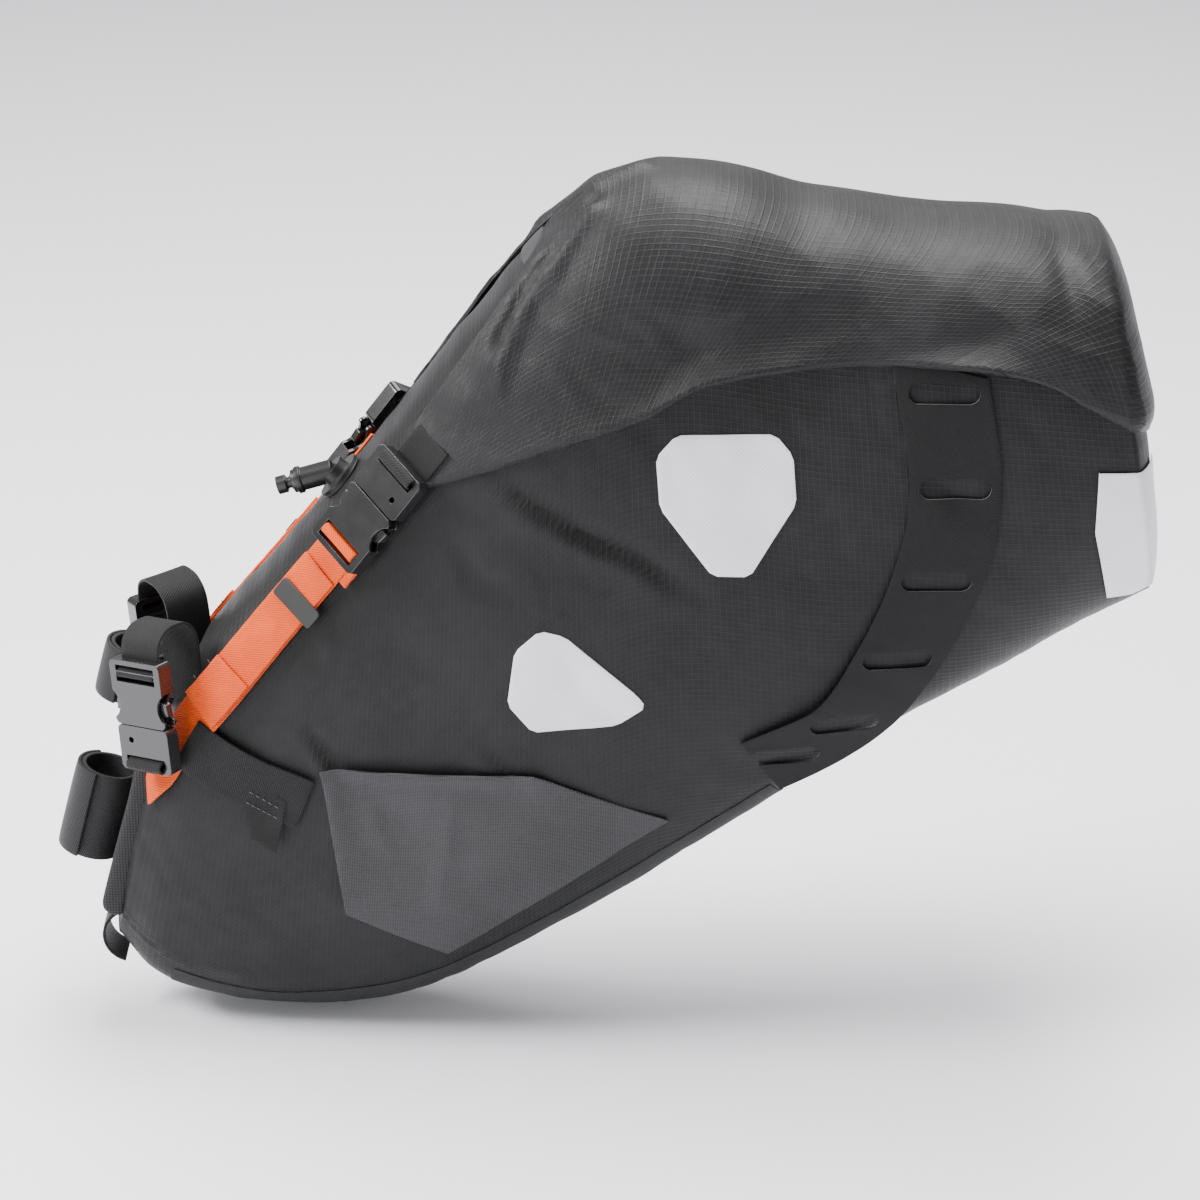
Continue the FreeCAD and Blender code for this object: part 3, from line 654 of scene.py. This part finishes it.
def softened(node, name, paint, width=0.7 * mm, angle=0.6, segments=2):
    source = frame["nodes"][node]
    bm = bmesh.new()
    bm.from_mesh(source.data)
    bmesh.ops.remove_doubles(bm, verts=bm.verts, dist=0.01 * mm)
    bmesh.ops.dissolve_limit(bm, angle_limit=0.02, verts=bm.verts, edges=bm.edges)
    edges = [edge for edge in bm.edges if len(edge.link_faces) == 2 and edge.calc_face_angle(0) > angle]
    bmesh.ops.bevel(bm, geom=edges, offset=width, offset_type="OFFSET", segments=segments, profile=0.5,
                    affect="EDGES", clamp_overlap=True, material=-1)
    made = piece(bm, name, paint, source["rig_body"], [node])
    for polygon in made.data.polygons:
        polygon.use_smooth = True
    made.modifiers.new("shine", "WEIGHTED_NORMAL")
    return made


for end in ("left", "right"):
    for kind in ("closure", "rail"):
        mark = end.capitalize()
        for part in ("buckle_socket", "buckle_plug", "latch_upper", "latch_lower"):
            node = f"{kind}_{part}_{end}"
            name = kind + "".join(word.capitalize() for word in part.split("_")) + mark
            softened(node, name, "buckle", 0.8 * mm if "buckle" in part else 0.5 * mm)
    softened(f"strap_keeper_{end}", "strapKeeper" + end.capitalize(), "rubber", 0.6 * mm)
for part in ("Flange", "Barrel", "Nozzle"):
    softened("valve_" + part.lower(), "valve" + part, "valve", 0.5 * mm)
softened("valve_seal", "valveSeal", "rubber", 0.4 * mm)
print("buckles and valve made")


# Sheets that lie on the sides


def notched(outline, corner):  # the outline with its corners cut back a little
    points, count = [], len(outline)
    for k, (x, z) in enumerate(outline):
        for px, pz in (outline[k - 1], outline[(k + 1) % count]):
            length = math.hypot(px - x, pz - z)
            f = min(corner / length, 0.4)
            points.append((x + (px - x) * f, z + (pz - z) * f))
    return points


reflectorCorners = {
    "upper": ((0.596, 0.672), [(-26, 38), (24, 39), (33, 28), (35, 3), (12, -37), (-7, -37), (-34, -1),
                               (-36, 26)]),
    "lower": ((0.459, 0.459), [(-20, 30), (-7, 27), (30, -6), (35, -13), (20, -24), (-24, -28), (-37, -12),
                               (-33, 18)])}
filmLift = 0.75 * mm
for name, (share, corners) in reflectorCorners.items():
    middle = at(*share)
    outline = notched([(middle.x + x * mm, middle.z + z * mm) for x, z in corners], 2.5 * mm)
    mirrorPair(lambda: cutSheet(outline, 4 * mm, bodyTree, filmLift), name + "Reflector", "film", "root",
               [name + "_reflector_SIDE"], solid(0.7 * mm, -1.0, 0.25 * mm))


def rearReflector():  # round the corner between the side and the tail
    middle = at(0.965, 0.629)
    rows, uvs = [], []
    count, low, tall = 30, -36, 76
    for i in range(count + 1):
        z = middle.z + (low + tall * i / count) * mm
        start = -16 if i > count * 0.56 else -6 - 10 * (i / (count * 0.56))
        row, uv = [], []
        for j in range(41):
            turn = math.radians(-16 + 106 * j / 40)
            core = Vector((middle.x - 6 * mm - 0.24 * (z - middle.z), -48 * mm, z))
            ray = Vector((math.sin(turn), -math.cos(turn), 0))
            hit, normal = bodyTree.ray_cast(core + ray * 0.3, -ray)[:2]
            if j == 0 or hit.x < middle.x + start * mm:
                hit, normal = onto(bodyTree, middle.x + start * mm, z, 0)
            row.append(hit + normal * filmLift)
            uv.append((0.001 * j * 1.6, z))
        rows.append(row)
        uvs.append(uv)
    return gridPiece(np.array(rows), np.array(uvs))


mirrorPair(rearReflector, "rearReflector", "film", "root", ["rear_reflector_SIDE"],
           solid(0.7 * mm, 1.0, 0.25 * mm))
print("reflectors made")


# Slotted strip up each side: sheet with its slots cut through

daisy = {"width": 46 * mm, "slot": (36 * mm, 11 * mm), "wall": 0.9 * mm, "lift": 1.0 * mm}
daisyLine = [(0.785, 0.850), (0.805, 0.697), (0.791, 0.586), (0.758, 0.485), (0.711, 0.399), (0.632, 0.345)]
daisySlots = [(0.792, 0.805)] + daisyLine[1:-1] + [(0.656, 0.358)]


def daisyStrip():
    line = [plan(at(*share)) for share in daisyLine]
    bm = layBand(line, daisy["width"], bodyTree, daisy["lift"], 2.0 * mm, 22, 0.0)
    openMouth(bm, 4 * mm)
    return bm


def slotCutter():  # round-ended bars, one through each slot
    bm = bmesh.new()
    long, tall = daisy["slot"]
    for share in daisySlots:
        middle = at(*share)
        verts = bmesh.ops.create_cone(bm, cap_ends=True, cap_tris=False, segments=24, radius1=tall / 2,
                                      radius2=tall / 2, depth=0.25)["verts"]
        bmesh.ops.rotate(bm, verts=verts, cent=(0, 0, 0), matrix=Matrix.Rotation(math.pi / 2, 3, "X"))
        for vert in verts:
            vert.co.x += math.copysign((long - tall) / 2, vert.co.x)
        bmesh.ops.translate(bm, vec=(middle.x, -0.08, middle.z), verts=verts)
    return bm


def baked(made):  # its mesh with the modifiers taken in
    bpy.context.view_layer.update()
    return bpy.data.meshes.new_from_object(made.evaluated_get(bpy.context.evaluated_depsgraph_get()))


def cutWith(made, cutter):
    tool = piece(cutter, "cutterTemp", "edge", None, smooth=False)
    change = made.modifiers.new("slots", "BOOLEAN")
    change.object = tool
    change.operation = "DIFFERENCE"
    change.solver = "EXACT"
    change.material_mode = "TRANSFER"
    mesh = baked(made)
    made.modifiers.clear()
    made.data = mesh
    bpy.data.objects.remove(tool)


for end in ("Left", "Right"):
    bm, cutter = daisyStrip(), slotCutter()
    if end == "Right":
        turnOver(bm)
        turnOver(cutter)
    strip = piece(bm, "daisyStrip" + end, "daisy", "root", ["daisy_strip_" + end.lower()],
                  modifiers=solid(daisy["wall"])[:1])  # its edges are rounded after the cut
    cutWith(strip, cutter)
    rounding = strip.modifiers.new("edges", "BEVEL")
    rounding.width, rounding.segments = 0.2 * mm, 2
    rounding.limit_method, rounding.angle_limit = "ANGLE", 0.9
print("slotted strips made")


# Side wings: stiff sheet with a folded top edge

wing = {"lift": 1.5 * mm, "topFold": 5.0 * mm, "frontFold": 6.5 * mm, "wave": 1.8 * mm}
wingOutline = [(0.214, 0.352), (0.416, 0.346), (0.545, 0.277), (0.330, 0.099), (0.233, 0.163)]


def sideWing():
    outline = [plan(at(*share)) for share in wingOutline]
    bm = cutSheet(outline, 3 * mm, bodyTree, wing["lift"])
    topLine = [outline[0], outline[1]]
    frontLine = [outline[4], outline[0]]
    for vert in bm.verts:
        away, along = reach(vert.co, topLine)
        front, down = reach(vert.co, frontLine)
        lift = wing["topFold"] * math.exp(-(away / (7 * mm)) ** 2)
        lift *= 0.5 + 0.5 * math.sin(math.pi * min(along * 1.1, 1))
        lift += wing["frontFold"] * math.exp(-(front / (9 * mm)) ** 2) * (0.25 + 0.75 * down)
        lift += wing["wave"] * noise.noise(vert.co * 26)
        lift += groove(vert.co, side((150, 44), (168, 8), (176, -22)), 6 * mm, 2.2 * mm)
        lift -= groove(vert.co, side((196, 48), (190, 10), (182, -50)), 5 * mm, 1.6 * mm)
        vert.co.y -= max(lift, -1.0 * mm)
    return bm


mirrorPair(sideWing, "sideWing", "wing", "root", ["side_wing_SIDE"],
           solid(1.2 * mm, -1.0, 0.3 * mm))


# Scuff panel: round the underside

panelStep = 0.0022
panelLow = [(0.050, 0.030), (0.110, 0.008), (0.188, 0.000), (0.333, 0.038), (0.515, 0.165), (0.660, 0.283)]


def bottomPanel():
    low = softLine(panelLow, 0.004)[0]
    rows, uvs = [], []
    for i in range(len(low)):
        middle = at(*low[i])
        ahead = at(*low[min(i + 1, len(low) - 1)]) - at(*low[max(i - 1, 0)])
        up = Vector((-ahead.z, 0, ahead.x)).normalized()
        centre = middle + up * 17 * mm
        row = []
        for turn in np.linspace(0, math.pi, 181):
            ray = Vector((0, -math.cos(turn), 0)) - up * math.sin(turn)
            hit, normal = bodyTree.ray_cast(centre, ray)[:2]
            row.append(list(hit + normal * 0.5 * mm))
        row, even = evenly(np.array(row), 60)
        rows.append(row)
        uvs.append(rowUv(i * panelStep, even))
    bm = gridPiece(np.array(rows), np.array(uvs))
    bmesh.ops.reverse_faces(bm, faces=bm.faces)
    return bm


bm = bottomPanel()
if sum(face.normal.z for face in bm.faces) > 0:
    bmesh.ops.reverse_faces(bm, faces=bm.faces)
piece(bm, "scuffPanel", "panel", "root", ["bottom_panel"],
      modifiers=solid(0.45 * mm, -1.0, 0.15 * mm))


def innerStiffener():  # stiff sheet against the inside of the nose
    outline = [at(0.045, 0.08), at(0.095, 0.39), at(0.14, 0.40), at(0.30, 0.15), at(0.24, 0.06)]
    return cutSheet([plan(spot) for spot in outline], 5 * mm, bodyTree, -2.5 * mm)


mirrorPair(innerStiffener, "innerStiffener", "sheet", "root", ["inner_stiffener_SIDE"],
           solid(1.0 * mm, -1.0, 0.2 * mm))
print("panels made")


# Straps. Each buckle's own frame: x down the buckle, z outwards, from the latches' joints

joints = {joint["name"]: joint for joint in frame["joints"]}
post = {"lean": math.radians(15), "ring": 16.0 * mm, "flap": 18.4 * mm, "spacing": 83 * mm}
latchPlace = (36.3, 9.6, 4.75)  # a latch's joint in the buckle's own frame, in millimetres
webbing = {"strap": 25 * mm, "tail": 24.6 * mm, "hem": 24.2 * mm, "loop": 24.8 * mm, "wing": 29 * mm,
           "tab": 24 * mm, "rail": 25 * mm, "anchor": 23 * mm}


def buckleFrame(slide, latch, sign):
    x = Vector(joints[slide]["axis"]) * sign
    z = Vector(joints[latch]["axis"])
    y = z.cross(x)
    pivot = Vector(joints[latch]["pos_m"])
    along, aside, out = latchPlace
    corner = pivot - x * along * mm - y * aside * mm - z * out * mm
    return Matrix.Translation(corner) @ Matrix((x, y, z)).transposed().to_4x4()


closureFrame = buckleFrame("closure_clip_left_pull", "closure_latch_upper_left_press", 1)
railFrame = buckleFrame("rail_loop_left_pull", "rail_latch_upper_left_press", -1)
postFrame = Matrix.Rotation(post["lean"], 4, "Y")


def localBand(frameHere, path, width, outward=1, step=1.6 * mm, columns=8, crown=0.15 * mm):
    points = softLine([(x * mm, y * mm, z * mm) for x, y, z in path], step)[0]
    count = len(points)
    centres, normals = [], []
    for i, point in enumerate(points):
        ahead = Vector(points[min(i + 1, count - 1)]) - Vector(points[max(i - 1, 0)])
        normal = Vector((0, 1, 0)).cross(ahead).normalized() * outward
        centres.append(frameHere @ Vector(point))
        normals.append(frameHere.to_3x3() @ normal)
    rows, uvs = bandRows(centres, normals, width, columns, crown)
    return gridPiece(rows, uvs)


def dashes(starts, headings, normals, size=(2.3 * mm, 0.45 * mm, 0.35 * mm)):
    bm = bmesh.new()
    for start, heading, normal in zip(starts, headings, normals):
        x, z = Vector(heading).normalized(), Vector(normal).normalized()
        turn = Matrix((x, z.cross(x), z)).transposed().to_4x4()
        place = Matrix.Translation(start) @ turn @ Matrix.Diagonal((*size, 1))
        bmesh.ops.create_cube(bm, size=1.0, matrix=place)
    return bm


def seamRow(first, last, tree, lift, gap):  # stitches on a sheet, between two side-view points
    count = max(int(math.dist(first, last) / gap), 2)
    run, rise = last[0] - first[0], last[1] - first[1]
    spots = [onto(tree, first[0] + run * k / count, first[1] + rise * k / count, lift)
             for k in range(count + 1)]
    heading = Vector((run, 0, rise))
    headings = [heading - normal * heading.dot(normal) for hit, normal in spots]
    return dashes([hit for hit, normal in spots], headings, [normal for hit, normal in spots])


start = closureFrame.translation
foot, bend = at(0.045, 0.302), at(0.102, 0.403)
below = (bend - start).normalized()
strapWall = solid(1.5 * mm, -1.0, 0.3 * mm)


def closureStrap():
    ahead = closureFrame @ Vector((34 * mm, 0, 0))
    return layBand([plan(foot), plan(bend), plan(start), plan(ahead)], webbing["strap"], bodyTree, 1.6 * mm)


def downStrap(*parts):  # side-view points down the strap, from the buckle to the bend
    return [(start.x + (bend.x - start.x) * f, start.z + (bend.z - start.z) * f) for f in parts]


def strapTail():
    lift = lambda f: (5.2 - 1.8 * f + 1.6 * math.exp(-(f / 0.10) ** 2)) * mm
    return layBand(downStrap(0.98, 0.7, 0.4, 0.12), webbing["tail"], bodyTree, lift, crown=0.4 * mm)


def strapHem():
    return layBand(downStrap(0.985, 0.86, 0.74), webbing["hem"], bodyTree, 7.0 * mm, crown=0.4 * mm)


def barLoop():
    path = [(-12, 0, -3.6), (-4, 0, -2.8), (2.0, 0, 0.6), (4.3, 0, 5.5), (5.0, 0, 9.6), (7.6, 0, 11.0),
            (10.3, 0, 9.4), (10.8, 0, 5.0), (9.8, 0, -1.0), (5.5, 0, -4.6), (-6, 0, -5.4)]
    return localBand(closureFrame, path, webbing["loop"])


mirrorPair(closureStrap, "closureStrap", "orange", "root", ["closure_strap_SIDE"], strapWall)
for make, name in ((strapTail, "closureStrapTail"), (strapHem, "closureStrapHem"), (barLoop, "closureStrapLoop")):
    mirrorPair(make, name, "orange", "root", (), strapWall)
hemAcross = Vector((-below.z, 0, below.x))
for k, f in enumerate((0.80, 0.90)):
    spot = start + (bend - start) * f
    first, last = spot + hemAcross * 10.5 * mm, spot - hemAcross * 10.5 * mm
    mirrorPair(lambda: seamRow(plan(first), plan(last), bodyTree, 7.3 * mm, 2.8 * mm), f"hemStitches{k}",
               "thread", "root")


def wingStrap():
    line = [plan(at(*share)) for share in ((0.088, 0.366), (0.140, 0.330), (0.198, 0.303))]
    return layBand(line, webbing["wing"], bodyTree, lambda f: (4.2 - 2.0 * f) * mm)


def wingStrapTail():  # hangs free, further out towards its end
    bm = cutSheet(side((82, 44), (106, 30), (100, 2), (86, 10)), 3 * mm, bodyTree, 4.4 * mm)
    for vert in bm.verts:
        vert.co.y -= 5.0 * mm * min(max((0.036 - vert.co.z) / 0.034, 0), 1) ** 2
    return bm


mirrorPair(wingStrap, "wingStrap", "black", "root", ["wing_strap_SIDE"], strapWall)
mirrorPair(wingStrapTail, "wingStrapTail", "black", "root", (), strapWall)
for k, ends in enumerate((((88, 34), (101, 27)), ((86, 28), (100, 21)))):
    mirrorPair(lambda: seamRow(*side(*ends), bodyTree, 5.4 * mm, 3.0 * mm), f"tailStitches{k}",
               "thread", "root")


def closureTab():
    path = [(60.2, 0, 6), (59.2, 0, 10.2), (56.6, 0, 10.4), (55.6, 0, 5), (57, 0, 0.6), (62, 0, -0.4),
            (70, 0, -0.6), (79.5, 0, -0.8)]
    return localBand(closureFrame, path, webbing["tab"])


def railLoop():
    path = [(10.6, 0, -1.5), (10.8, 0, 6), (8.6, 0, 10.4), (5.2, 0, 8.2), (3.2, 0, 4.6), (-3, 0, 4.2),
            (-10, 0, 1.6), (-14.6, 0, -5), (-15.4, 0, -12.5), (-14, 0, -20.5), (-8, 0, -27), (2, 0, -29),
            (20, 0, -28), (33, 0, -26)]
    return localBand(railFrame, path, webbing["rail"], -1, columns=10)


def railTab():
    path = [(60.4, 0, 5), (59.4, 0, 10.2), (56.8, 0, 10.4), (55.8, 0, 5), (57, 0, 0), (64, 0, -7),
            (71, 0, -14), (77.5, 0, -21)]
    return localBand(railFrame, path, webbing["anchor"])


stretched = [  # what it joins, and where its stretch begins and ends in the buckle's frame
    (closureTab, "closureTab", "closure_tab_", ("closure_clip_", "closure"), (closureFrame, 60, 76, 0)),
    (railLoop, "railLoop", "rail_strap_", ("rail_loop_", "root"), (railFrame, -6, 26, -28))]
for end, flip in (("left", 1), ("right", -1)):
    for make, name, node, bodies, (buckle, near, far, out) in stretched:
        bm = make()
        if flip < 0:
            turnOver(bm)
        made = piece(bm, name + end.capitalize(), "black", None, [node + end],
                     modifiers=strapWall)
        spot = buckle @ Vector((near * mm, 0, out * mm))
        stop = buckle @ Vector((far * mm, 0, out * mm))
        spot.y, stop.y = spot.y * flip, stop.y * flip
        first = bodies[0] + end
        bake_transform(made)
mirrorPair(railTab, "railAnchorTab", "black", "root", ["rail_anchor_tab_SIDE"], strapWall)


# Seat-post side: two hook-and-loop bands, each with a peel-off end, the pad and the ladder loop


def postBand(radius, width, middle, first, last, steps):  # round the post, between two angles in degrees
    rows, uvs = [], []
    for i in range(steps + 1):
        turn = math.radians(first + (last - first) * i / steps)
        row, uv = [], []
        for j in range(13):
            f = 2 * j / 12 - 1
            r = radius - 0.35 * mm * f ** 6
            row.append(postFrame @ Vector((r * math.cos(turn), r * math.sin(turn), middle + f * width / 2)))
            uv.append((radius * turn, f * width / 2))
        rows.append(row)
        uvs.append(uv)
    return gridPiece(np.array(rows), np.array(uvs))


for name, width, middle in (("lower", 50 * mm, 0.0), ("upper", 30 * mm, post["spacing"])):
    bm = postBand(post["ring"], width, middle, -2, 362, 90)
    piece(bm, name + "PostStrap", "post", "root", [name + "_post_strap"],
          modifiers=solid(2.3 * mm, 1.0, 0.5 * mm))
    bm = postBand(post["flap"], width, middle, 115, 250, 50)
    piece(bm, name + "PostFlap", "post", name + "_post_flap", [name + "_post_flap"],
          modifiers=solid(2.0 * mm, 1.0, 0.6 * mm))


def boxUv(mesh):
    cloth = mesh.uv_layers.new(name="cloth")
    for polygon in mesh.polygons:
        n = [abs(c) for c in polygon.normal]
        skip = n.index(max(n))
        for index in polygon.loop_indices:
            co = mesh.vertices[mesh.loops[index].vertex_index].co
            cloth.data[index].uv = [co[k] for k in range(3) if k != skip]


def relaxed(node, name, paint, voxel, turns, sag):  # a stuffed form, from the CAD one
    source = frame["nodes"][node]
    bm = bmesh.new()
    bm.from_mesh(source.data)
    bmesh.ops.remove_doubles(bm, verts=bm.verts, dist=0.01 * mm)
    temp = piece(bm, "padTemp", paint, None)
    change = temp.modifiers.new("even", "REMESH")
    change.mode, change.voxel_size = "VOXEL", voxel
    soft = temp.modifiers.new("soft", "SMOOTH")
    soft.factor, soft.iterations = 0.5, turns
    mesh = baked(temp)
    for vert in mesh.vertices:
        vert.co += vert.normal * sag * noise.noise(vert.co * 40)
    boxUv(mesh)
    bpy.data.objects.remove(temp)
    made = bpy.data.objects.new(name, mesh)
    bpy.context.scene.collection.objects.link(made)
    mesh.materials.clear()
    mesh.materials.append(paints[paint])
    for polygon in mesh.polygons:
        polygon.use_smooth = True
    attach(made, source["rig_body"])
    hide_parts(node)
    return made


frontPad = relaxed("front_pad", "frontPad", "pad", 1.6 * mm, 5, 0.5 * mm)
relaxed("upper_strap_base", "upperStrapBase", "black", 0.8 * mm, 2, 0.0)

ladder = {"face": 25.15, "inside": 8, "reach": 15.3, "middle": -66}  # in millimetres from the post
arch = []
for k in range(15):
    turn = math.pi * k / 14
    out = ladder["face"] + ladder["inside"] - ladder["reach"] * math.sin(turn)
    arch.append((out, 0, ladder["middle"] + ladder["reach"] * math.cos(turn)))
piece(localBand(postFrame, arch, webbing["tail"]), "ladderWebbing", "black", "root",
      ["front_ladder_webbing"], modifiers=solid(1.6 * mm, 0.0, 0.3 * mm))


# Rolled end of the fabric, under the hood's front edge

roll = {"turns": 2.4, "inner": 3.4, "growth": 3.3, "steps": 90, "half": 40}
rollMiddle = at(0.480, 0.902)
rows, uvs = [], []
for i in range(roll["steps"] + 1):
    turn = 2 * math.pi * roll["turns"] * i / roll["steps"]
    r = (roll["inner"] + roll["growth"] * i / roll["steps"]) * mm
    x, z = rollMiddle.x + r * math.cos(turn), rollMiddle.z - r * math.sin(turn)
    across = range(-roll["half"], roll["half"] + 1, 2)
    rows.append([(x, y * mm, z) for y in across])
    uvs.append([(r * turn, y * mm) for y in across])
piece(gridPiece(np.array(rows), np.array(uvs)), "closureRoll", "hood", "closure",
      ["closure_roll"], modifiers=solid(0.8 * mm, 0.0, 0.2 * mm))
print("straps, pad and roll made")


# Camera, lights and floor

view = {"aim": (0.270, 0, 0.120), "distance": 2.12, "elevation": 22, "width": 0.636}
cameraData = bpy.data.cameras.new("camera")
cameraData.sensor_width = 36
cameraData.lens = 36 * view["distance"] / view["width"]
cameraData.clip_start = 0.05
camera = bpy.data.objects.new("camera", cameraData)
bpy.context.scene.collection.objects.link(camera)
tilt = math.radians(view["elevation"])
aim = Vector(view["aim"])
camera.location = aim + Vector((0, -math.cos(tilt), math.sin(tilt))) * view["distance"]
camera.rotation_euler = (aim - camera.location).to_track_quat("-Z", "Y").to_euler()
bpy.context.scene.camera = camera

# name, place, size and power
lamps = [("keyLight", (-1.25, -0.3, 1.3), 0.7, 62), ("topLight", (0.55, 0.1, 1.9), 1.0, 62),
         ("fillLight", (-0.7, -1.5, 0.10), 0.7, 16), ("backLight", (0.4, 1.4, 2.4), 1.6, 55)]
for name, place, size, power in lamps:
    lamp = bpy.data.lights.new(name, "AREA")
    lamp.energy = power
    lamp.size = size
    made = bpy.data.objects.new(name, lamp)
    made.location = place
    made.rotation_euler = (aim - Vector(place)).to_track_quat("-Z", "Y").to_euler()
    bpy.context.scene.collection.objects.link(made)

world = bpy.data.worlds.new("room")
bpy.context.scene.world = world
world.use_nodes = True
skyInputs = world.node_tree.nodes["Background"].inputs
skyInputs[0].default_value = (1.0, 1.0, 1.0, 1.0)
skyInputs[1].default_value = 0.5

bm = bmesh.new()
bmesh.ops.create_grid(bm, x_segments=2, y_segments=2, size=30)
bmesh.ops.translate(bm, vec=(0, 0, cadBox[0][2] - 2 * mm), verts=bm.verts)
floorPaint = Paint("paleFloor", Roughness=0.9)
floorPaint.set("Base Color", floorPaint.mix(floorPaint.noise(2.0), grey(0.93), grey(0.96)))
paints["floor"] = floorPaint.material
floor = piece(bm, "floor", "floor", None)
print("camera, lights and floor made")


# Anything left of the CAD takes a finish of its own

slotPaints = {"body_fabric": "body", "hood_fabric": "hood", "panel_fabric": "panel",
              "daisy_laminate": "daisy", "rim_tape": "tape", "reflective_film": "film",
              "orange_webbing": "orange", "black_webbing": "black", "post_strap_fabric": "post",
              "pad_fabric": "pad", "buckle_plastic": "buckle",
              "valve_plastic": "valve", "keeper_rubber": "rubber", "stiffener_plastic": "sheet"}
for part in frame["record"]["subparts"]:
    node = frame["nodes"][part["node"]]
    for slot in node.material_slots:
        slot.material = paints[slotPaints[part["material_slot"]]]
